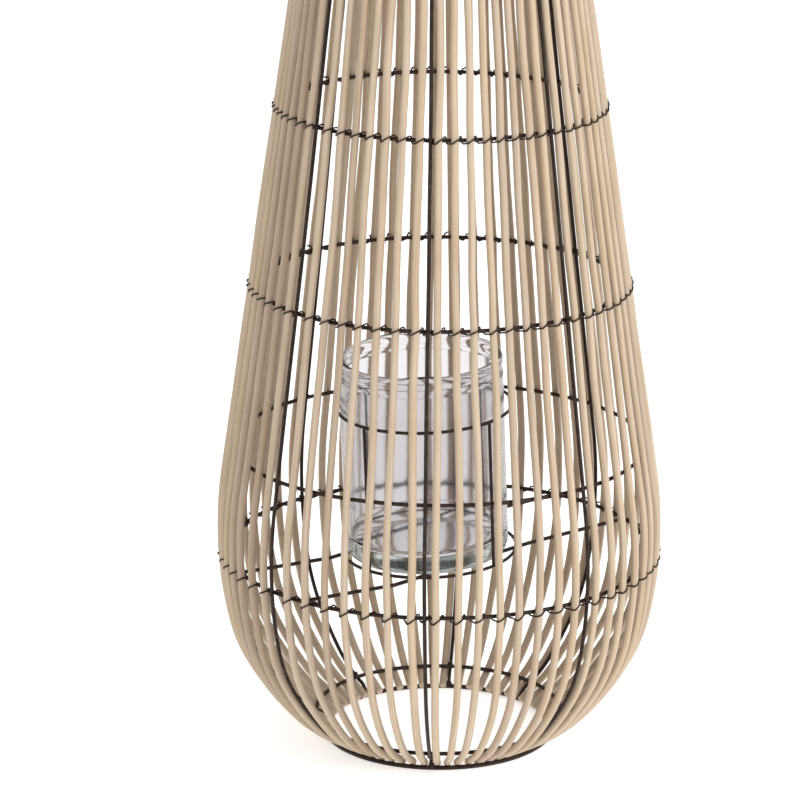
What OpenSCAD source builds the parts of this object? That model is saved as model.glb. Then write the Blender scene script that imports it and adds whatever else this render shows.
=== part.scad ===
// Cane floor lantern: a teardrop cage of peeled cane on a black wire frame,
// with a wire basket inside that holds a heavy glass candle cylinder.
// Millimetres, +Z up, front towards -Y. The origin is the centre of the base ring, on the floor.

/* [Cage outline] */
// Height from the floor to the top of the top ring
cage_h = 700; // [680:5:760]
// Radius of the base ring, at the middle of its width
base_ring_r = 87.6; // [86:0.2:90]
// Radius of the cane line at its lower end, inside the base ring
foot_r = 80.8; // [79:0.2:82]
// Rise of the cane line at its lower end, in degrees above level
foot_angle = 16.5; // [15:0.5:18]

/* [Cane] */
// Diameter of a peeled cane rod
cane_d = 6; // [5:0.1:6.2]
// Rods between two neighbouring ribs
rods_per_panel = 8; // [6:1:8]
// Rods in the panel on the left of the front rib, which is set wider than the others
left_front_rods = 7; // [6:1:8]
// Rods in each of the two back panels
back_rods = 7; // [6:1:8]

/* [Wire frame] */
// Diameter of the hoops and ribs
frame_d = 3; // [2:0.1:3]
// Width of the flat base and top rings
flat_ring_w = 4; // [3.6:0.2:5]
// Height of the flat base and top rings
flat_ring_h = 3; // [2.8:0.1:3.6]
// Angle of the first rib, from the front towards the right
first_rib = -3.5; // [-22:0.5:22]

/* [Hoop heights] */
// Plain hoop just above the foot
foot_hoop_z = 15.5; // [15:0.1:20]
// Bound hoop round the bulge
bulge_hoop_z = 148.2; // [140:0.1:160]
// Plain hoop level with the glass
glass_hoop_z = 233.1; // [220:0.1:250]
// Bound hoop at the waist
waist_hoop_z = 358.8; // [340:0.1:380]
// Bound hoop above the waist
upper_hoop_z = 495.7; // [480:0.1:520]
// Bound hoop near the neck
neck_hoop_z = 632; // [620:1:640]
// Plain hoop just inside the mouth
mouth_hoop_z = 682; // [670:1:684]

/* [Binding wire] */
// Diameter of the binding wire
binding_d = 1.1; // [0.8:0.1:1.2]
// Slant of each turn of binding wire across its rod
binding_slant = 45; // [43:1:47]

/* [Basket] */
// Diameter of the basket wire
basket_wire_d = 2.5; // [2:0.1:2.6]
// Radius of the two basket rings, at the wire's centre
basket_r = 66.5; // [66.5:0.1:68]
// Height of the upper basket ring above the lower one
basket_h = 115; // [90:1:120]
// Lean of the basket down towards the low end of its support bars
basket_lean = 2.6; // [0:0.1:2.6]
// Direction of the support bars in plan
support_angle = 38.7; // [30:0.1:50]
// Distance between the two support bars
support_spacing = 80; // [70:1:90]

/* [Glass] */
// Outer diameter of the glass cylinder
glass_d = 125; // [110:1:125]
// Height of the glass cylinder
glass_h = 157; // [140:1:160]
// Wall thickness of the glass
glass_wall = 4; // [3:0.5:5]
// Thickness of the glass base
glass_base = 12; // [8:1:16]

/* [Handle] */
// Diameter of the bail wire
bail_d = 4; // [3:0.5:4]
// Diameter of the pivot pins at the ends of the bail
pin_d = 5; // [4:0.5:5]
// Radial clearance of a pivot pin in its lug
pin_clearance = 0.05; // [0.02:0.01:0.1]

/* [Hidden] */
$fn = 48;

rib_count = 8;
panel_angle = 360 / rib_count;
weld_gap = 0.1;
seat_gap = 0.3;

// The cane line bends up out of the foot, round the bulge and into a straight flank.
// Each bend is its radius, its turn and the number of straight steps that follow it.
cage_bends = [[86, 30.9, 3], [221, 10.8, 2], [123, 20, 3], [313, 20.2, 3]];

function bend_angle(i) = i == 0 ? foot_angle : bend_angle(i - 1) + cage_bends[i - 1][1];
function left_of(a) = [-sin(a), cos(a)];
function bend_start(i) =
  i == 0 ? [foot_r, cane_foot_z]
         : bend_centre(i - 1) - cage_bends[i - 1][0] * left_of(bend_angle(i));
function bend_centre(i) = bend_start(i) + cage_bends[i][0] * left_of(bend_angle(i));
function bend_point(i, share, inset) =
  bend_centre(i) - (cage_bends[i][0] - inset) * left_of(bend_angle(i) + share * cage_bends[i][1]);

// Where the straight flank, moved inwards by inset, reaches a height.
flank_angle = bend_angle(len(cage_bends));
function flank_point(z, inset) =
  let (start = bend_point(len(cage_bends) - 1, 1, inset))
    [start[0] + (z - start[1]) / tan(flank_angle), z];

// The cane line as [radius, height] points, moved inwards by inset.
function cage_line(inset, top_z) = [
  for (i = [0 : len(cage_bends) - 1])
    for (step = [0 : cage_bends[i][2] - 1])
      bend_point(i, step / cage_bends[i][2], inset),
  bend_point(len(cage_bends) - 1, 1, inset),
  flank_point(top_z, inset)
];
function radius_at(z, line) = lookup(z, [for (p = line) [p[1], p[0]]]);

// The rods rest on the inner edge of the base ring, where the first bend passes over it.
foot_bend_x = foot_r - cage_bends[0][0] * sin(foot_angle);
foot_bend_reach = cage_bends[0][0] + cane_d / 2 + weld_gap;
foot_edge_x = base_ring_r - flat_ring_w / 2 - foot_bend_x;
foot_bend_z = flat_ring_h + sqrt(pow(foot_bend_reach, 2) - pow(foot_edge_x, 2));
cane_foot_z = foot_bend_z - cage_bends[0][0] * cos(foot_angle);
cane_top_z = cage_h - flat_ring_h - cane_d / 2 * abs(cos(flank_angle)) - 2 * weld_gap;
rib_inset = (cane_d - frame_d) / 2;
hoop_inset = cane_d / 2 + frame_d / 2 + weld_gap;
cane_line = cage_line(0, cane_top_z);
hoop_line = cage_line(hoop_inset, cane_top_z);
top_ring_r = radius_at(cane_top_z, cane_line) - rib_inset;

// A rib follows the cage and turns straight onto the flat rings at its ends.
rib_line = concat(
  [[base_ring_r, flat_ring_h + weld_gap], [base_ring_r, flat_ring_h + frame_d]],
  [for (p = cage_line(rib_inset, cage_h - flat_ring_h - frame_d)) if (p[0] > base_ring_r + frame_d) p],
  [[top_ring_r, cage_h - flat_ring_h - weld_gap]]
);

function is_back(i) = i == rib_count / 2 - 1 || i == rib_count / 2;
function rods_in(i) = i == rib_count - 1 ? left_front_rods : is_back(i) ? back_rods : rods_per_panel;
function rod_angle(i, k) = first_rib + (i + (k + 0.5) / rods_in(i)) * panel_angle;
function angle_apart(a, b) = abs((a - b + 900) % 360 - 180);

// Each turn of binding wire rings one rod and the hoop behind it.
binding_ring_r = 5.4 * (cane_d + frame_d) / 9;
binding_inset = (hoop_inset + frame_d / 2 - cane_d / 2) / 2;

// Basket and glass sit in a frame turned to the support bars, with X along the bars.
basket_along = -5;
basket_across = 5;
basket_reach = 66;
basket_drop = basket_reach * tan(basket_lean);
bar_z = bulge_hoop_z - basket_drop;
bar_reach_r = radius_at(bulge_hoop_z, hoop_line) - frame_d / 2 - weld_gap;
function bar_across(side) = basket_across + side * support_spacing / 2;
function bar_half(side) = sqrt(pow(bar_reach_r, 2) - pow(abs(bar_across(side)) + frame_d / 2, 2));
bar_end_angles = [
  for (side = [-1, 1])
    for (way = [-1, 1])
      90 + support_angle + atan2(bar_across(side), way * bar_half(side))
];
basket_ring_lift = frame_d / 2 + basket_wire_d / 2 + weld_gap;
glass_lift = frame_d / 2 + seat_gap;
glass_along = -(basket_r - basket_wire_d / 2 - glass_d / 2 - 0.15);
upright_angles = [-133, -43, 47, 137];

lug_r = 6;
lug_w = 3;
lug_x = top_ring_r;
pivot_z = cage_h + 4;
bail_r = lug_x + lug_w / 2 + 0.5 + bail_d / 2;
head_d = 7;
head_w = 2;

// A wire or rod along points in the XZ plane, with sides flat faces round it.
module bent_wire(points, d, sides) {
  last = len(points) - 1;
  headings = [
    for (k = [0 : last])
      let (step = points[min(k + 1, last)] - points[max(k - 1, 0)])
        step / norm(step)
  ];
  corners = [
    for (k = [0 : last])
      for (s = [0 : sides - 1])
        let (across = d / 2 * cos(360 * s / sides), side = d / 2 * sin(360 * s / sides))
          [points[k][0] - across * headings[k][1], side, points[k][1] + across * headings[k][0]]
  ];
  walls = [
    for (k = [0 : last - 1])
      for (s = [0 : sides - 1])
        let (a = k * sides + s, b = k * sides + (s + 1) % sides)
          [a, b, b + sides, a + sides]
  ];
  foot_cap = [for (s = [sides - 1 : -1 : 0]) s];
  top_cap = [for (s = [0 : sides - 1]) last * sides + s];
  polyhedron(points = corners, faces = concat(walls, [foot_cap, top_cap]));
}

// Turns a child drawn in the XZ plane to an angle round the cage, from the front to the right.
module at_angle(angle) {
  rotate([0, 0, angle - 90])
    children();
}

module round_hoop(r, z, d) {
  translate([0, 0, z])
    rotate_extrude()
      translate([r, 0])
        circle(d = d);
}

module cage_hoop(z) {
  color("black")
    round_hoop(radius_at(z, hoop_line), z, frame_d);
}

module flat_ring(r, z) {
  color("black")
    translate([0, 0, z])
      difference() {
        cylinder(r = r + flat_ring_w / 2, h = flat_ring_h);
        translate([0, 0, -1])
          cylinder(r = r - flat_ring_w / 2, h = flat_ring_h + 2);
      }
}

module rib(i) {
  color("black")
    at_angle(first_rib + i * panel_angle)
      bent_wire(rib_line, frame_d, 8);
}

module cane_panel(i) {
  color("tan")
    for (k = [0 : rods_in(i) - 1])
      at_angle(rod_angle(i, k))
        bent_wire(cane_line, cane_d, 8);
}

// Turns of wire on the rods, but not on one where a support bar ends on the hoop at one of
// bar_angles, nor on those beside the ribs if they have no room there.
module binding(z, bar_angles = [], beside_ribs = true) {
  hoop_r = radius_at(z, hoop_line);
  heading = z > bulge_hoop_z ? flank_angle : 90;
  outward = [sin(heading), -cos(heading)];
  centre = [hoop_r, z] + (hoop_inset - binding_inset) * outward;
  first = beside_ribs ? 0 : 1;
  bar_room = asin(binding_ring_r / hoop_r);
  rod_angles = [
    for (i = [0 : rib_count - 1])
      for (k = [first : rods_in(i) - 1 - first])
        let (near = [for (bar = bar_angles) if (angle_apart(rod_angle(i, k), bar) < bar_room) bar])
          if (len(near) == 0) rod_angle(i, k)
  ];
  color("black")
    for (angle = rod_angles)
      at_angle(angle)
        translate([centre[0], 0, centre[1]])
          rotate([0, 90 - heading, 0])
            rotate([binding_slant, 0, 0])
              rotate_extrude()
                translate([binding_ring_r, 0])
                  circle(d = binding_d, $fn = 16);
}

module turned_to_bars() {
  rotate([0, 0, support_angle])
    children();
}

module in_basket() {
  turned_to_bars()
    translate([basket_along, basket_across, bar_z])
      rotate([0, -basket_lean, 0])
        children();
}

// A bar crosses the bulge hoop and sags under the basket's low side.
module support_bar(side) {
  bar_points = [
    [-bar_half(side), bulge_hoop_z],
    [basket_along - basket_reach, bar_z - basket_drop],
    [basket_along + basket_reach, bar_z + basket_drop],
    [bar_half(side), bulge_hoop_z]
  ];
  color("black")
    turned_to_bars()
      translate([0, bar_across(side), 0])
        bent_wire(bar_points, frame_d, 12);
}

module basket_ring(lift) {
  color("black")
    in_basket()
      round_hoop(basket_r, basket_ring_lift + lift, basket_wire_d);
}

module basket_upright(i) {
  foot = basket_ring_lift + basket_wire_d / 2 + weld_gap;
  color("black")
    in_basket()
      rotate([0, 0, upright_angles[i] - support_angle])
        translate([basket_r, 0, foot])
          cylinder(d = basket_wire_d, h = basket_h - basket_wire_d - 2 * weld_gap);
}

// Outline of the glass: rounded foot, rolled rim and a thick base with a dished inside.
module glass_outline() {
  r = glass_d / 2;
  foot_round = 7;
  rim_d = glass_wall + 1.5;
  neck = r - 0.8;
  rim_z = glass_h - rim_d / 2;
  difference() {
    union() {
      square([r - foot_round, glass_h / 2]);
      translate([0, foot_round])
        square([r, glass_h - foot_round - 2 * rim_d]);
      translate([r - foot_round, foot_round])
        circle(r = foot_round);
      square([neck, rim_z]);
      translate([r - rim_d / 2, rim_z])
        circle(d = rim_d);
    }
    translate([0, glass_base])
      square([r - glass_wall, glass_h]);
    translate([-r, -1])
      square([r, glass_h + 2]);
  }
}

module glass_cylinder() {
  color("lightgrey", 0.5)
    in_basket()
      translate([glass_along, 0, glass_lift])
        rotate_extrude($fn = 96)
          glass_outline();
}

module handle_lug(side) {
  color("black")
    difference() {
      translate([side * lug_x - lug_w / 2, 0, pivot_z])
        rotate([0, 90, 0])
          cylinder(r = lug_r, h = lug_w);
      translate([side * lug_x - lug_w, -lug_r - 1, cage_h - 2 * lug_r])
        cube([2 * lug_w, 2 * lug_r + 2, 2 * lug_r]);
      translate([side * lug_x - lug_w, 0, pivot_z])
        rotate([0, 90, 0])
          cylinder(d = pin_d + 2 * pin_clearance, h = 2 * lug_w);
    }
}

// The pin runs from outside the bail's leg through the lug to a head that keeps it in.
module bail_pin() {
  head_x = lug_x - lug_w / 2 - 0.5 - head_w;
  translate([head_x, 0, 0])
    rotate([0, 90, 0])
      cylinder(d = pin_d, h = bail_r + pin_d / 2 - head_x);
  translate([head_x, 0, 0])
    rotate([0, 90, 0])
      cylinder(d = head_d, h = head_w);
}

// Half a ring of wire, folded flat on the back of the top ring.
module handle_bail() {
  color("black")
    translate([0, 0, pivot_z])
      union() {
        rotate_extrude(angle = 180)
          translate([bail_r, 0])
            circle(d = bail_d);
        bail_pin();
        mirror([1, 0, 0])
          bail_pin();
      }
}

flat_ring(base_ring_r, 0);  // base_ring
cage_hoop(foot_hoop_z);  // foot_hoop
cage_hoop(bulge_hoop_z);  // bulge_hoop
cage_hoop(glass_hoop_z);  // glass_hoop
cage_hoop(waist_hoop_z);  // waist_hoop
cage_hoop(upper_hoop_z);  // upper_hoop
cage_hoop(neck_hoop_z);  // neck_hoop
cage_hoop(mouth_hoop_z);  // mouth_hoop
flat_ring(top_ring_r, cage_h - flat_ring_h);  // top_ring
for (i = [0 : rib_count - 1]) {
  rib(i);
  cane_panel(i);
}
binding(bulge_hoop_z, bar_end_angles);  // bulge_binding
binding(waist_hoop_z);  // waist_binding
binding(upper_hoop_z);  // upper_binding
binding(neck_hoop_z, beside_ribs = false);  // neck_binding
support_bar(-1);  // support_bar_front
support_bar(1);  // support_bar_back
basket_ring(0);  // basket_lower_ring
basket_ring(basket_h);  // basket_upper_ring
basket_upright(0);  // basket_upright_1
basket_upright(1);  // basket_upright_2
basket_upright(2);  // basket_upright_3
basket_upright(3);  // basket_upright_4
glass_cylinder();
handle_lug(-1);  // handle_lug_left
handle_lug(1);  // handle_lug_right
handle_bail();
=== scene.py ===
import bpy
import math
import random
from mathutils import Matrix, Vector


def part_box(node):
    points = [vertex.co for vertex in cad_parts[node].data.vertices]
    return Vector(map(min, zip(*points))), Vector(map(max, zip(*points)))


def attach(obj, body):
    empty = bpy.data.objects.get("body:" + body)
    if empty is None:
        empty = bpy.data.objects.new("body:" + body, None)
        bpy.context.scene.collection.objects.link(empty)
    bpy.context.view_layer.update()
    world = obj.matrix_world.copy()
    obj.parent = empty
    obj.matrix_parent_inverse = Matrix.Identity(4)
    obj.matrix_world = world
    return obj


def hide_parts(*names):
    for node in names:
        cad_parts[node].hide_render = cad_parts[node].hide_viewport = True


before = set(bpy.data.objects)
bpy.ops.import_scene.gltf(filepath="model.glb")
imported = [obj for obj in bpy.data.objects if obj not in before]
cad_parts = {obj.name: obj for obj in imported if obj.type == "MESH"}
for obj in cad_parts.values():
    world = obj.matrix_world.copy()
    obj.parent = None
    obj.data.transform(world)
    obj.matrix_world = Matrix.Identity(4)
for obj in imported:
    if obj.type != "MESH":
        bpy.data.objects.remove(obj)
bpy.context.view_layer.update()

# ---------------------------------------------------------------- driving sizes, metres and degrees
MM = 0.001
RIB_COUNT = 8
FIRST_RIB = -3.5
PANEL_ANGLE = 360 / RIB_COUNT
RODS_IN_PANEL = (8, 8, 8, 7, 7, 8, 8, 7)
# how far the first and the last rod of each panel stand from even spacing, in degrees
PANEL_LEAN = ((0, -1.6), (0, 0), (0, 0), (-1.2, -2.4), (-1.7, -4.0), (0, 0), (0, 0), (3.4, -0.2))
# the back rib stands a little out of line, close beside its next rod
BACK_RIB, BACK_RIB_SHIFT = 4, -2.0
CANE_D = 6 * MM
FRAME_D = 3 * MM
BINDING_D = 1.25 * MM
FOOT_R = 80.8 * MM
FOOT_ANGLE = 16.5
# below this radius the rods dip a little into the base ring, and they are cut off inside it
FOOT_DIP_R, FOOT_CUT_R = 98 * MM, 82 * MM
FOOT_DIP = 2.5 * MM
# the cane line's bends, as (radius, turn)
CAGE_BENDS = ((86 * MM, 30.9), (221 * MM, 10.8), (123 * MM, 20), (313 * MM, 20.2))
FLANK_ANGLE = FOOT_ANGLE + sum(turn for _, turn in CAGE_BENDS)
WELD_GAP = 0.1 * MM
# the basket, which leans along the two support bars
SUPPORT_ANGLE = 38.7
BASKET_LEAN = 2.6
BASKET_REACH = 66 * MM
BASKET_ALONG, BASKET_ACROSS = -5 * MM, 5 * MM
GLASS_ALONG, GLASS_LIFT = -2.6 * MM, 1.8 * MM
HOOPS = {name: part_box(name) for name in (
    "foot_hoop", "bulge_hoop", "glass_hoop", "waist_hoop", "upper_hoop", "neck_hoop", "mouth_hoop")}
BASE_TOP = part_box("base_ring")[1].z
FLAT_RING_W = 4 * MM
BASE_RING_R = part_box("base_ring")[1].x - FLAT_RING_W / 2
BASE_RING_INSIDE = BASE_RING_R - FLAT_RING_W / 2
TOP_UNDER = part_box("top_ring")[0].z


def hoop_height(name):
    low, high = HOOPS[name]
    return (low.z + high.z) / 2


def hoop_radius(name):
    low, high = HOOPS[name]
    return (high.x - low.x) / 2 - FRAME_D / 2


# ---------------------------------------------------------------- meshes
class MeshBuilder:
    """Collects tubes, lathes and lumps, with a UV and a tone for each point."""

    def __init__(self):
        self.points, self.faces, self.uvs, self.tones = [], [], [], []

    def add_point(self, point, uv, tone=0.5):
        self.points.append(point)
        self.uvs.append(uv)
        self.tones.append(tone)

    def tube(self, path, radii, sides, tone=0.5, closed=False):
        """A tube along path, whose rings keep their turn from one to the next."""
        count = len(path)
        base = len(self.points)
        tangents = []
        for i in range(count):
            after = path[(i + 1) % count] if closed or i + 1 < count else path[i]
            before = path[i - 1] if closed or i > 0 else path[i]
            tangents.append((after - before).normalized())
        normal = tangents[0].orthogonal().normalized()
        frames = []
        for tangent in tangents:
            normal = (normal - tangent * normal.dot(tangent)).normalized()
            frames.append((normal.copy(), tangent.cross(normal)))
        twist = 0.0
        if closed:
            end = frames[-1][0] - tangents[0] * frames[-1][0].dot(tangents[0])
            twist = math.atan2(end.dot(frames[0][1]), end.dot(frames[0][0]))
        length = 0.0
        for i in range(count):
            if i:
                length += (path[i] - path[i - 1]).length
            turn = -twist * i / count
            for s in range(sides):
                a = 2 * math.pi * s / sides + turn
                around = frames[i][0] * math.cos(a) + frames[i][1] * math.sin(a)
                self.add_point(path[i] + around * radii[i], (s / sides, length), tone)
        for i in range(count if closed else count - 1):
            for s in range(sides):
                a, b = base + i * sides + s, base + i * sides + (s + 1) % sides
                c = base + ((i + 1) % count) * sides + (s + 1) % sides
                d = base + ((i + 1) % count) * sides + s
                self.faces.append((a, b, c, d))
        if not closed:
            self.faces.append(tuple(base + s for s in reversed(range(sides))))
            self.faces.append(tuple(base + (count - 1) * sides + s for s in range(sides)))

    def lathe(self, outline, steps):
        """Turns an outline of (radius, height) points round Z, whose two ends lie on the axis."""
        base, rings = len(self.points), outline[1:-1]
        for k in range(steps):
            a = 2 * math.pi * k / steps
            for i, (r, z) in enumerate(rings):
                self.add_point(Vector((r * math.cos(a), r * math.sin(a), z)), (k / steps, i / len(rings)))
        for _, z in (outline[0], outline[-1]):
            self.add_point(Vector((0, 0, z)), (0.5, 0.5))
        count = len(rings)
        first_pole = base + steps * count
        for k in range(steps):
            here, there = base + k * count, base + ((k + 1) % steps) * count
            self.faces.append((first_pole, there, here))
            for i in range(count - 1):
                self.faces.append((here + i, there + i, there + i + 1, here + i + 1))
            self.faces.append((first_pole + 1, here + count - 1, there + count - 1))

    def ring(self, section, radius, steps):
        """Turns a closed section of (outwards, up) points round Z at a radius."""
        base, count = len(self.points), len(section)
        for k in range(steps):
            a = 2 * math.pi * k / steps
            for i, (out, up) in enumerate(section):
                r = radius + out
                self.add_point(Vector((r * math.cos(a), r * math.sin(a), up)), (k / steps, i / count))
        for k in range(steps):
            here, there = base + k * count, base + ((k + 1) % steps) * count
            for i in range(count):
                j = (i + 1) % count
                self.faces.append((here + i, there + i, there + j, here + j))

    def blob(self, centre, radius, seed, rings=7, sides=10):
        """A lump of weld: a ball with an uneven surface."""
        rng = random.Random(seed)
        base = len(self.points)
        bumps = []
        for _ in range(5):
            axis = Vector([rng.uniform(-1, 1) for _ in range(3)]).normalized()
            bumps.append((axis, rng.uniform(-0.16, 0.2)))
        for j in range(rings + 1):
            lat = math.pi * j / rings
            for s in range(sides):
                a = 2 * math.pi * s / sides
                way = Vector((math.sin(lat) * math.cos(a), math.sin(lat) * math.sin(a), math.cos(lat)))
                swell = 1 + sum(size * max(0.0, way.dot(axis)) ** 2 for axis, size in bumps)
                self.add_point(centre + way * radius * swell, (s / sides, j / rings))
        for j in range(rings):
            for s in range(sides):
                a, b = base + j * sides + s, base + j * sides + (s + 1) % sides
                if j == 0:
                    self.faces.append((base, a + sides, b + sides))
                elif j == rings - 1:
                    self.faces.append((a, base + rings * sides, b))
                else:
                    self.faces.append((a, a + sides, b + sides, b))

    def build(self, name, material, matrix=None, smooth_angle=50):
        mesh = bpy.data.meshes.new(name)
        points = [matrix @ p for p in self.points] if matrix else self.points
        mesh.from_pydata([tuple(p) for p in points], [], self.faces)
        layer = mesh.uv_layers.new(name="along")
        corner_points = [0] * len(mesh.loops)
        mesh.loops.foreach_get("vertex_index", corner_points)
        flat = []
        for v in corner_points:
            flat.extend(self.uvs[v])
        layer.data.foreach_set("uv", flat)
        mesh.attributes.new("tone", "FLOAT", "POINT").data.foreach_set("value", self.tones)
        mesh.materials.append(material)
        mesh.validate()
        mesh.shade_smooth()
        piece = bpy.data.objects.new(name, mesh)
        bpy.context.scene.collection.objects.link(piece)
        mesh.set_sharp_from_angle(angle=math.radians(smooth_angle))
        return piece


def smooth_path(points, steps, closed=False):
    """Catmull-Rom curve through points, with steps pieces between neighbours."""
    count = len(points)
    out = []
    last = count if closed else count - 1
    for i in range(last):
        if closed:
            p = [points[(i + k) % count] for k in (-1, 0, 1, 2)]
        else:
            p = [points[min(max(i + k, 0), count - 1)] for k in (-1, 0, 1, 2)]
        for s in range(steps):
            t = s / steps
            out.append(0.5 * (2 * p[1] + (p[2] - p[0]) * t + (2 * p[0] - 5 * p[1] + 4 * p[2] - p[3]) * t * t
                              + (3 * p[1] - p[0] - 3 * p[2] + p[3]) * t * t * t))
    if not closed:
        out.append(points[-1].copy())
    return out


def drift(rng, scale, waves=3):
    """A smooth random function of a length in metres, about as large as scale."""
    parts = [(rng.uniform(2, 9) * (k + 1), rng.uniform(0, 2 * math.pi), scale / (k + 1) / 1.4)
             for k in range(waves)]
    return lambda s: sum(size * math.sin(rate * s * 2 + phase) for rate, phase, size in parts)


# ---------------------------------------------------------------- the cage's outline
def cane_foot_height():
    """Height of the cane line's lower end: the first bend passes over the base ring's inner edge."""
    bend_r = CAGE_BENDS[0][0]
    a = math.radians(FOOT_ANGLE)
    edge_x = BASE_RING_INSIDE - (FOOT_R - bend_r * math.sin(a))
    reach = bend_r + CANE_D / 2 + WELD_GAP
    return BASE_TOP + math.sqrt(reach * reach - edge_x * edge_x) - bend_r * math.cos(a)


def cage_line(inset, high_z, step=4 * MM):
    """The cane line as (radius, height, heading) up to high_z, moved inwards by inset."""
    heading = FOOT_ANGLE
    r, z = FOOT_R, cane_foot_height()
    out = []
    for radius, turn in CAGE_BENDS:
        a0 = math.radians(heading)
        centre = (r - radius * math.sin(a0), z + radius * math.cos(a0))
        count = max(2, round(radius * math.radians(turn) / step))
        for k in range(count):
            a = a0 + math.radians(turn) * k / count
            reach = radius - inset
            out.append((centre[0] + reach * math.sin(a), centre[1] - reach * math.cos(a), a))
        heading += turn
        a1 = math.radians(heading)
        r, z = centre[0] + radius * math.sin(a1), centre[1] - radius * math.cos(a1)
    a1 = math.radians(heading)
    start = (r - inset * math.sin(a1), z + inset * math.cos(a1))
    length = (high_z - start[1]) / math.sin(a1)
    count = round(length / step)
    for k in range(count + 1):
        s = length * k / count
        out.append((start[0] + s * math.cos(a1), start[1] + s * math.sin(a1), a1))
    return out


def rib_angle(i):
    return FIRST_RIB + i * PANEL_ANGLE + (BACK_RIB_SHIFT if i % RIB_COUNT == BACK_RIB else 0)


def line_at(line, z):
    """(radius, heading) of an outline at a height."""
    for (r0, z0, a0), (r1, z1, a1) in zip(line, line[1:]):
        if z0 <= z <= z1:
            t = (z - z0) / (z1 - z0)
            return r0 + (r1 - r0) * t, a0 + (a1 - a0) * t
    return line[-1][0], line[-1][2]


def around(angle, r, z):
    """The point at an angle in degrees from the front towards the right."""
    a = math.radians(angle)
    return Vector((r * math.sin(a), -r * math.cos(a), z))


# ---------------------------------------------------------------- materials
def new_material(name):
    material = bpy.data.materials.new(name)
    material.use_nodes = True
    tree = material.node_tree
    tree.nodes.clear()
    output = tree.nodes.new("ShaderNodeOutputMaterial")
    shader = tree.nodes.new("ShaderNodeBsdfPrincipled")
    tree.links.new(shader.outputs["BSDF"], output.inputs["Surface"])
    return material, tree, shader


def node(tree, kind, links=None, **values):
    """Adds a node, links sources to its sockets, and sets its properties or sockets by name."""
    made = tree.nodes.new(kind)
    for key, value in values.items():
        if hasattr(made, key):
            setattr(made, key, value)
        else:
            made.inputs[key.replace("_", " ").title()].default_value = value
    for key, source in (links or {}).items():
        tree.links.new(source, made.inputs[key])
    return made


def ramp(tree, source, stops):
    made = tree.nodes.new("ShaderNodeValToRGB")
    tree.links.new(source, made.inputs["Fac"])
    elements = made.color_ramp.elements
    while len(elements) < len(stops):
        elements.new(0.5)
    for element, (place, colour) in zip(elements, stops):
        element.position = place
        element.color = (*colour, 1)
    return made


def mix(tree, blend, share, a, b):
    made = tree.nodes.new("ShaderNodeMix")
    made.data_type = "RGBA"
    made.blend_type = blend
    for socket, value in ((0, share), (6, a), (7, b)):
        if isinstance(value, bpy.types.NodeSocket):
            tree.links.new(value, made.inputs[socket])
        else:
            made.inputs[socket].default_value = value if socket == 0 else (*value, 1)
    return made.outputs[2]


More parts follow.
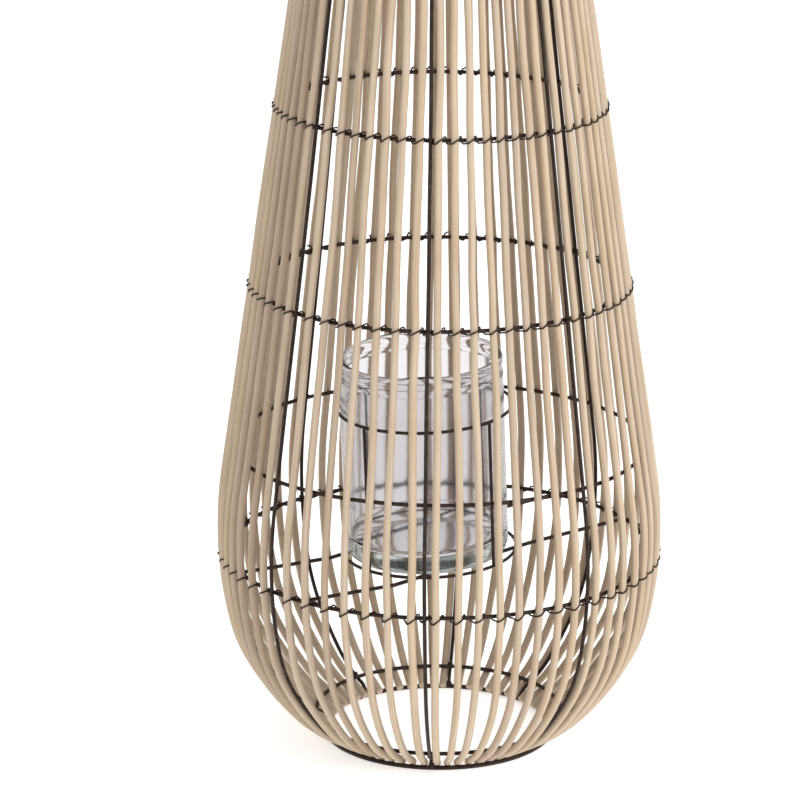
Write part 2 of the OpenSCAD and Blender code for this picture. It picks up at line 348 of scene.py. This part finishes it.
def cane_material():
    """Peeled cane: fine streaks along the rod, a tone of its own for each rod, blotches and dark specks."""
    material, tree, shader = new_material("peeled_cane")
    uv = node(tree, "ShaderNodeUVMap", uv_map="along").outputs["UV"]
    tone = node(tree, "ShaderNodeAttribute", attribute_name="tone").outputs["Fac"]
    place = node(tree, "ShaderNodeTexCoord").outputs["Object"]
    # streaks: noise on the UV, drawn out along the rod, which each rod takes from a place of its own
    seed = node(tree, "ShaderNodeCombineXYZ", {"X": tone, "Y": tone})
    far = node(tree, "ShaderNodeVectorMath", {0: seed.outputs[0]}, operation="SCALE", scale=37.0)
    offset = node(tree, "ShaderNodeVectorMath", {0: uv, 1: far.outputs[0]}, operation="ADD")
    stretch = node(tree, "ShaderNodeMapping", {"Vector": offset.outputs[0]}, scale=(14, 9, 1))
    streak = node(tree, "ShaderNodeTexNoise", {"Vector": stretch.outputs[0]},
                  noise_dimensions="2D", scale=1.0, detail=6.0, roughness=0.62)
    fine = node(tree, "ShaderNodeMapping", {"Vector": offset.outputs[0]}, scale=(46, 30, 1))
    fibre = node(tree, "ShaderNodeTexNoise", {"Vector": fine.outputs[0]},
                 noise_dimensions="2D", scale=1.0, detail=3.0)
    # blotches: slow change of tone in space, and specks where the blotches are strongest
    blotch = node(tree, "ShaderNodeTexNoise", {"Vector": place}, scale=26.0, detail=3.0)
    speck = node(tree, "ShaderNodeTexVoronoi", {"Vector": place}, feature="F1", scale=150.0)
    speck_mask = ramp(tree, speck.outputs["Distance"], (
        (0.0, (1, 1, 1)), (0.045, (1, 1, 1)), (0.085, (0, 0, 0))))
    rare = ramp(tree, blotch.outputs["Fac"], ((0.0, (0, 0, 0)), (0.60, (0, 0, 0)), (0.66, (1, 1, 1))))
    # colour
    base = ramp(tree, streak.outputs["Fac"], (
        (0.25, (0.475, 0.365, 0.255)), (0.5, (0.58, 0.465, 0.345)), (0.75, (0.65, 0.535, 0.41))))
    by_rod = ramp(tree, tone, (
        (0.0, (0.80, 0.76, 0.73)), (0.25, (0.94, 0.92, 0.93)),
        (0.6, (0.98, 0.95, 0.90)), (1.0, (1.0, 1.0, 1.0))))
    colour = mix(tree, "MULTIPLY", 1.0, base.outputs["Color"], by_rod.outputs["Color"])
    blotchy = ramp(tree, blotch.outputs["Fac"], ((0.3, (0.90, 0.86, 0.80)), (0.6, (1, 1, 1))))
    colour = mix(tree, "MULTIPLY", 0.7, colour, blotchy.outputs["Color"])
    spots = mix(tree, "MULTIPLY", 1.0, speck_mask.outputs["Color"], rare.outputs["Color"])
    colour = mix(tree, "MIX", spots, colour, (0.20, 0.12, 0.065))
    tree.links.new(colour, shader.inputs["Base Color"])
    rough = node(tree, "ShaderNodeMapRange", {"Value": fibre.outputs["Fac"]}, to_min=0.50, to_max=0.68)
    tree.links.new(rough.outputs[0], shader.inputs["Roughness"])
    broad = node(tree, "ShaderNodeBump", {"Height": streak.outputs["Fac"]}, strength=0.5, distance=0.0004)
    bump = node(tree, "ShaderNodeBump", {"Height": fibre.outputs["Fac"], "Normal": broad.outputs[0]},
                strength=0.35, distance=0.00025)
    tree.links.new(bump.outputs[0], shader.inputs["Normal"])
    shader.inputs["Specular IOR Level"].default_value = 0.35
    shader.inputs["Sheen Weight"].default_value = 0.05
    return material


def black_material(name, dark, light, roughness, flecks):
    """Thin black paint over steel wire: mottled, with pale flecks where it is worn."""
    material, tree, shader = new_material(name)
    place = node(tree, "ShaderNodeTexCoord").outputs["Object"]
    mottle = node(tree, "ShaderNodeTexNoise", {"Vector": place}, scale=160.0, detail=5.0).outputs["Fac"]
    grain = node(tree, "ShaderNodeTexNoise", {"Vector": place}, scale=900.0, detail=3.0).outputs["Fac"]
    base = ramp(tree, mottle, ((0.3, dark), (0.7, light)))
    worn = ramp(tree, grain, ((0.0, (0, 0, 0)), (flecks, (0, 0, 0)), (flecks + 0.05, (1, 1, 1))))
    patchy = ramp(tree, mottle, ((0.45, (0, 0, 0)), (0.62, (0.7, 0.7, 0.7))))
    where = mix(tree, "MULTIPLY", 1.0, worn.outputs["Color"], patchy.outputs["Color"])
    colour = mix(tree, "MIX", where, base.outputs["Color"], (0.20, 0.155, 0.13))
    tree.links.new(colour, shader.inputs["Base Color"])
    rough = node(tree, "ShaderNodeMapRange", {"Value": mottle},
                 to_min=roughness - 0.08, to_max=roughness + 0.12)
    tree.links.new(rough.outputs[0], shader.inputs["Roughness"])
    bump = node(tree, "ShaderNodeBump", {"Height": grain}, strength=0.4, distance=0.0002)
    tree.links.new(bump.outputs[0], shader.inputs["Normal"])
    shader.inputs["Specular IOR Level"].default_value = 0.3
    shader.inputs["Specular Tint"].default_value = (1.0, 0.86, 0.78, 1)
    return material


def glass_material():
    """Pressed glass: a grey tint, partly its own colour and partly painted shade standing in for dark
    surroundings seen through it; slow waves in its surface, a slight haze and green depth.
    """
    material, tree, shader = new_material("pressed_glass")
    place = node(tree, "ShaderNodeTexCoord").outputs["Object"]
    stretch = node(tree, "ShaderNodeMapping", {"Vector": place}, scale=(1.0, 1.0, 0.35))
    waves = node(tree, "ShaderNodeTexNoise", {"Vector": stretch.outputs[0]}, scale=24.0, detail=1.5)
    bump = node(tree, "ShaderNodeBump", {"Height": waves.outputs["Fac"]}, strength=0.3, distance=0.0015)
    tree.links.new(bump.outputs[0], shader.inputs["Normal"])
    # grey base colour: partly painted shade, darkening what is seen through the glass in place of dark
    # surroundings
    shader.inputs["Base Color"].default_value = (0.73, 0.705, 0.715, 1)
    shader.inputs["Roughness"].default_value = 0.085
    shader.inputs["IOR"].default_value = 1.33
    shader.inputs["Transmission Weight"].default_value = 1.0
    depth = node(tree, "ShaderNodeVolumeAbsorption", density=7.0)
    depth.inputs["Color"].default_value = (0.55, 0.68, 0.62, 1)
    output = next(n for n in tree.nodes if n.type == "OUTPUT_MATERIAL")
    tree.links.new(depth.outputs[0], output.inputs["Volume"])
    return material


def floor_material():
    material, _, shader = new_material("pale_floor")
    shader.inputs["Base Color"].default_value = (0.93, 0.93, 0.93, 1)
    shader.inputs["Roughness"].default_value = 0.9
    shader.inputs["Specular IOR Level"].default_value = 0.1
    shader.inputs["Emission Color"].default_value = (1, 1, 1, 1)
    shader.inputs["Emission Strength"].default_value = FLOOR_GLOW
    return material


CANE = cane_material()
BLACK = black_material("black_wire_paint", (0.012, 0.007, 0.0055), (0.034, 0.022, 0.018), 0.45, 0.62)
BINDING = black_material("binding_wire_black", (0.010, 0.006, 0.005), (0.028, 0.018, 0.015), 0.5, 0.68)
GLASS = glass_material()


def place_piece(piece, body, node_name):
    """Rides a piece on a body, in place of a CAD node."""
    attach(piece, body)
    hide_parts(node_name)


# ---------------------------------------------------------------- camera, light and floor
CAMERA_DISTANCE = 2.965
CAMERA_HEIGHT = 1.158
CAMERA_PITCH = 16.74
CAMERA_YAW = 0.58
CAMERA_ROLL = 0.04
LENS = 183.2
SENSOR = 36.0
KEY_POWER = 125
WORLD_STRENGTH = 0.7
FLOOR_GLOW = 0.52


def make_camera():
    data = bpy.data.cameras.new("camera")
    data.lens, data.sensor_width = LENS, SENSOR
    camera = bpy.data.objects.new("camera", data)
    bpy.context.scene.collection.objects.link(camera)
    camera.location = (0, -CAMERA_DISTANCE, CAMERA_HEIGHT)
    yaw = Matrix.Rotation(math.radians(CAMERA_YAW), 4, "Z")
    pitch = Matrix.Rotation(math.radians(90 - CAMERA_PITCH), 4, "X")
    roll = Matrix.Rotation(math.radians(CAMERA_ROLL), 4, "Z")
    camera.rotation_euler = (yaw @ pitch @ roll).to_euler()
    data.clip_end = 50
    bpy.context.scene.camera = camera


def make_light(name, location, target, size, power):
    data = bpy.data.lights.new(name, "AREA")
    data.shape = "DISK"
    data.size, data.energy = size, power
    light = bpy.data.objects.new(name, data)
    light.location = location
    aim = Vector(target) - Vector(location)
    light.rotation_euler = aim.to_track_quat("-Z", "Y").to_euler()
    bpy.context.scene.collection.objects.link(light)


def make_stage():
    scene = bpy.context.scene
    scene.view_settings.view_transform = "Standard"
    world = bpy.data.worlds.new("studio")
    world.use_nodes = True
    background = world.node_tree.nodes["Background"]
    background.inputs["Color"].default_value = (1.0, 1.0, 1.0, 1)
    background.inputs["Strength"].default_value = WORLD_STRENGTH
    scene.world = world
    make_light("key", (3.4, -2.9, 3.0), (0, 0, 0.3), 2.4, KEY_POWER)
    floor = MeshBuilder()
    half, steps = 9.0, 6
    for j in range(steps + 1):
        for i in range(steps + 1):
            corner = Vector((half * (2 * i / steps - 1), half * (2 * j / steps - 1), 0))
            floor.add_point(corner, (i / steps, j / steps))
    for j in range(steps):
        for i in range(steps):
            a = j * (steps + 1) + i
            floor.faces.append((a, a + 1, a + steps + 2, a + steps + 1))
    piece = floor.build("floor", floor_material())


make_camera()
make_stage()


# ---------------------------------------------------------------- cane rods
def rod_places():
    """(panel, angle, seed) of every rod."""
    rng = random.Random(11)
    places = []
    for i, count in enumerate(RODS_IN_PANEL):
        low, high = rib_angle(i), rib_angle(i + 1)
        for k in range(count):
            lean = PANEL_LEAN[i][0] + (PANEL_LEAN[i][1] - PANEL_LEAN[i][0]) * k / (count - 1)
            angle = low + (high - low) * (k + 0.5) / count + lean + rng.uniform(-0.3, 0.3)
            places.append((i, angle, rng.randrange(10 ** 6)))
    return places


ROD_PLACES = rod_places()
RIB_ROOM = 4.5 * MM
# the wire frame holds a rod straight, and lets it sway again this far away
GRIP_FADE = 45 * MM
KNOT_LENGTH, KNOT_SPACING, KNOT_SWELL = 3 * MM, 310 * MM, 0.03


def beside_ribs(i, angle, r):
    """angle, moved so that a rod of panel i stays clear of the ribs beside it at radius r."""
    room = math.degrees(RIB_ROOM / r)
    return min(max(angle, rib_angle(i) + room), rib_angle(i + 1) - room)


def dipped(point):
    """A point of the cane line, lowered near the rod's foot."""
    r, z, heading = point
    share = max(0.0, (FOOT_DIP_R - r) / (FOOT_DIP_R - FOOT_CUT_R))
    return r, z - FOOT_DIP * share * share, heading


def rounded_ends(path, radii):
    """Path and radii with the edge of each cut end worn round."""
    worn = 0.1
    path_ends, size_ends = [], []
    for end, after, size in ((path[0], path[1], radii[0]), (path[-1], path[-2], radii[-1])):
        path_ends.append([end, end.lerp(after, 0.12), end.lerp(after, 0.3)])
        size_ends.append([size * (1 - worn), size * (1 - worn / 4), size])
    points = path_ends[0] + path[1:-1] + path_ends[1][::-1]
    sizes = size_ends[0] + radii[1:-1] + size_ends[1][::-1]
    return points, sizes


def make_rods():
    top_z = TOP_UNDER - CANE_D / 2 * abs(math.cos(math.radians(FLANK_ANGLE))) - 2 * WELD_GAP
    line = [dipped(p) for p in cage_line(0, top_z, 2 * MM) if p[0] > FOOT_CUT_R]
    held = [hoop_height(n) for n in ("foot_hoop", "bulge_hoop", "waist_hoop", "upper_hoop", "neck_hoop")]
    panels = [MeshBuilder() for _ in range(RIB_COUNT)]
    for panel, angle, seed in ROD_PLACES:
        rng = random.Random(seed)
        size = CANE_D / 2 * rng.uniform(0.91, 0.98)
        thick, sway, bow = drift(rng, 0.022), drift(rng, 0.0011), drift(rng, 0.0004)
        joint = rng.uniform(0.05, 0.6)
        path, radii = [], []
        s = 0.0
        for i, (r, z, heading) in enumerate(line):
            if i:
                s += math.hypot(r - line[i - 1][0], z - line[i - 1][1])
            grip = min(1.0, min(abs(z - h) for h in held) / GRIP_FADE)
            inward = CANE_D / 2 - size
            out = r - inward * math.sin(heading) + bow(s) * grip
            swing = beside_ribs(panel, angle + math.degrees(sway(s) * grip / r), r)
            path.append(around(swing, out, z + inward * math.cos(heading)))
            knot = sum(math.exp(-((s - joint - far) / KNOT_LENGTH) ** 2) for far in (0, KNOT_SPACING))
            radii.append(size * (1 + thick(s) + KNOT_SWELL * knot))
        panels[panel].tube(*rounded_ends(path, radii), 16, tone=rng.random())
    for i, builder in enumerate(panels):
        place_piece(builder.build(f"cane_rods_{i + 1}", CANE), "cage", f"cane_panel_{i + 1}")


make_rods()


# ---------------------------------------------------------------- ribs and hoops
def make_base_ring():
    """A flat ring with softened edges, thinner than it is wide."""
    half, height, soft = 1.9 * MM, 2.6 * MM, 0.5 * MM
    middle = height / 2
    builder = MeshBuilder()
    edge = [(half - soft, 0), (half, soft), (half, middle)]
    edge += [(half, height - soft), (half - soft, height), (0, height)]
    edge += [(-x, z) for x, z in reversed(edge[:-1])] + [(0, 0)]
    builder.ring(edge, BASE_RING_R, 144)
    place_piece(builder.build("base_ring_flat", BLACK), "cage", "base_ring")


HOOP_WELD_R, RING_WELD_R = 2.1 * MM, 2.3 * MM


def make_ribs():
    inset = (CANE_D - FRAME_D) / 2
    line = [p for p in cage_line(inset, TOP_UNDER - FRAME_D) if p[0] > BASE_RING_R + FRAME_D]
    for i in range(RIB_COUNT):
        wave = drift(random.Random(300 + i), 0.0004)
        angle = rib_angle(i)
        points = [around(angle, BASE_RING_R, BASE_TOP), around(angle, BASE_RING_R, BASE_TOP + FRAME_D)]
        points += [around(angle + math.degrees(wave(z) / r), r, z) for r, z, _ in line]
        points.append(around(angle, line[-1][0], TOP_UNDER))
        path = smooth_path(points[:4], 4)[:-1] + points[3:]
        builder = MeshBuilder()
        builder.tube(path, [FRAME_D / 2 * 0.96] * len(path), 12)
        for name in ("foot_hoop", "glass_hoop"):
            r, heading = line_at(line, hoop_height(name))
            inwards = 1.3 * MM * math.sin(heading)
            builder.blob(around(angle, r - inwards, hoop_height(name)), HOOP_WELD_R, 900 + i)
        sunk = 0.6 * MM
        builder.blob(around(angle, BASE_RING_R, BASE_TOP + sunk), RING_WELD_R, 910 + i)
        builder.blob(around(angle, line[-1][0], TOP_UNDER - sunk), RING_WELD_R, 920 + i)
        place_piece(builder.build(f"rib_wire_{i + 1}", BLACK), "cage", f"rib_{i + 1}")


make_base_ring()
make_ribs()


# ---------------------------------------------------------------- glass
GLASS_R = 62.5 * MM
GLASS_H = 157 * MM
GLASS_WALL = 4 * MM
GLASS_BASE = 12 * MM
GLASS_STEPS = 128


def basket_matrix():
    """From the basket's own frame, with X along the support bars, to the cage's."""
    low_end = HOOPS["bulge_hoop"][0].z + FRAME_D / 2 - BASKET_REACH * math.tan(math.radians(BASKET_LEAN))
    turn = Matrix.Rotation(math.radians(SUPPORT_ANGLE), 4, "Z")
    move = Matrix.Translation((BASKET_ALONG, BASKET_ACROSS, low_end))
    return turn @ move @ Matrix.Rotation(math.radians(-BASKET_LEAN), 4, "Y")


def glass_outline():
    """Foot with a hollow under it, straight wall, groove below the rolled rim, and dished base inside."""
    r, h = GLASS_R / MM, GLASS_H / MM
    inner, base = r - GLASS_WALL / MM, GLASS_BASE / MM
    foot = [(0, 1.4), (26, 1.3), (42, 0.9), (r - 13.5, 0.25), (r - 9.5, 0)]
    foot += [(r - 5.9, 0.7), (r - 2.7, 2.6), (r - 0.8, 5.6)]
    wall = [(r - 0.1, 9.5), (r, 14), (r, 30), (r, h - 60), (r, h - 19), (r - 0.1, h - 15)]
    groove = [(r - 0.6, h - 12.8), (r - 0.8, h - 10), (r - 0.7, h - 7.4), (r - 0.1, h - 5.4)]
    rim = [(r, h - 3.4), (r - 0.7, h - 1.4), (r - 2.2, h - 0.2), (r - 3.6, h), (r - 4.9, h - 1)]
    rim += [(r - 5.4, h - 2.8), (r - 5.2, h - 5.6), (inner - 0.3, h - 9.5)]
    inside = [(inner, h - 15), (inner, h - 60), (inner, base + 14), (inner - 0.3, base + 8)]
    dish = [(inner - 1.9, base + 4), (inner - 5.5, base + 1.6), (inner - 12.5, base + 0.3)]
    dish += [(30, base - 0.3), (0, base - 0.5)]
    corners = foot + wall + groove + rim + inside + dish
    path = smooth_path([Vector((x * MM, 0, z * MM)) for x, z in corners], 4)
    return [(max(0.0, p.x), max(0.0, p.z)) for p in path]


def make_glass():
    builder = MeshBuilder()
    builder.lathe(glass_outline(), GLASS_STEPS)
    stand = Matrix.Translation((GLASS_ALONG, 0, GLASS_LIFT))
    piece = builder.build("candle_glass", GLASS, basket_matrix() @ stand)
    place_piece(piece, "glass", "glass_cylinder")


make_glass()
for name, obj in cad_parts.items():
    if obj.hide_render or obj.type != "MESH":
        continue
    obj.data.materials.clear()
    obj.data.materials.append(BINDING if "binding" in name else BLACK)


# ---------------------------------------------------------------- binding wire
BINDING_GAP = 0.05 * MM
NARROW_GAP = 1.6 * MM


def crossings(r):
    """What the binding wire passes in front of at radius r: (angle, half width, depth of its centre)."""
    rod_half, rod_depth = CANE_D / 2 * 0.95, CANE_D / 2 + FRAME_D / 2 + WELD_GAP
    items = [(beside_ribs(i, angle, r), rod_half, rod_depth) for i, angle, _ in ROD_PLACES]
    items += [(rib_angle(i), FRAME_D / 2, FRAME_D + WELD_GAP) for i in range(RIB_COUNT)]
    return sorted(items, key=lambda item: item[0])


def make_binding(hoop, piece_name, node_name, seed):
    """One wire wound on round the hoop, which climbs to the right over the front of each rod."""
    rng = random.Random(seed)
    height, radius = hoop_height(hoop), hoop_radius(hoop)
    line = cage_line(CANE_D / 2 + FRAME_D / 2 + WELD_GAP, 0.69)
    heading = line_at(line, height)[1]
    outward = (math.sin(heading), -math.cos(heading))
    along = (math.cos(heading), math.sin(heading))
    wrap = FRAME_D / 2 + BINDING_D / 2 + BINDING_GAP
    items = crossings(radius + CANE_D / 2)
    count = len(items)
    points = []

    def add(angle, u, v, w):
        """u to the right along the hoop, v up the cage's side and w out from the hoop's centre."""
        r = radius + w * outward[0] + v * along[0]
        z = height + w * outward[1] + v * along[1]
        points.append(around(angle + math.degrees(u / radius), r, z))

    for i, (angle, half, depth) in enumerate(items):
        after = items[(i + 1) % count]
        step = (after[0] - angle) % 360
        reach = half + BINDING_D / 2 + BINDING_GAP
        dip = rng.uniform(0.2, 1.5) * MM
        rise = 1.0 * MM if half < CANE_D / 2 * 0.8 else 1.9 * MM
        for beta in (-84, -56, -28, 0, 28, 56, 80):
            b = math.radians(beta)
            v = rise * beta / 84 - dip * math.exp(-((beta + 34) / 34) ** 2) + 0.1 * MM
            add(angle, reach * math.sin(b), v, depth + reach * math.cos(b))
        start, end = reach + 0.3 * MM, math.radians(step) * radius - after[1] - 0.9 * MM
        hump = rng.uniform(0.1, 0.9) * MM
        if end - start < NARROW_GAP:
            add(angle, (start + end) / 2, -0.4 * MM, wrap * 1.15)
            continue
        # over the top just right of the rod, along the back of the hoop, and out again below it
        low = -wrap - rng.uniform(0.0, 0.5) * MM
        peak = min(1.2 * MM, 0.3 * (end - start))
        under = max(0.45, 1 - 2.6 * MM / (end - start)) + rng.uniform(-0.1, 0.1)
        add(angle, start, wrap + hump * 0.6, wrap * 0.8)
        add(angle, start + peak, wrap + hump, 0)
        add(angle, start + peak * 1.7, wrap * 0.2, -wrap)
        add(angle, start + (end - start) * under, -wrap * 0.6, -wrap * 0.85)
        add(angle, start + (end - start) * (under + 1) / 2, low, 0.2 * wrap)
        add(angle, end, low * 0.95, wrap)
    path = smooth_path(points, 3, closed=True)
    builder = MeshBuilder()
    builder.tube(path, [BINDING_D / 2] * len(path), 8, closed=True)
    place_piece(builder.build(piece_name, BINDING), "cage", node_name)


for index, hoop_name in enumerate(("bulge", "waist", "upper", "neck")):
    make_binding(hoop_name + "_hoop", hoop_name + "_tie_wire", hoop_name + "_binding", 70 + index)
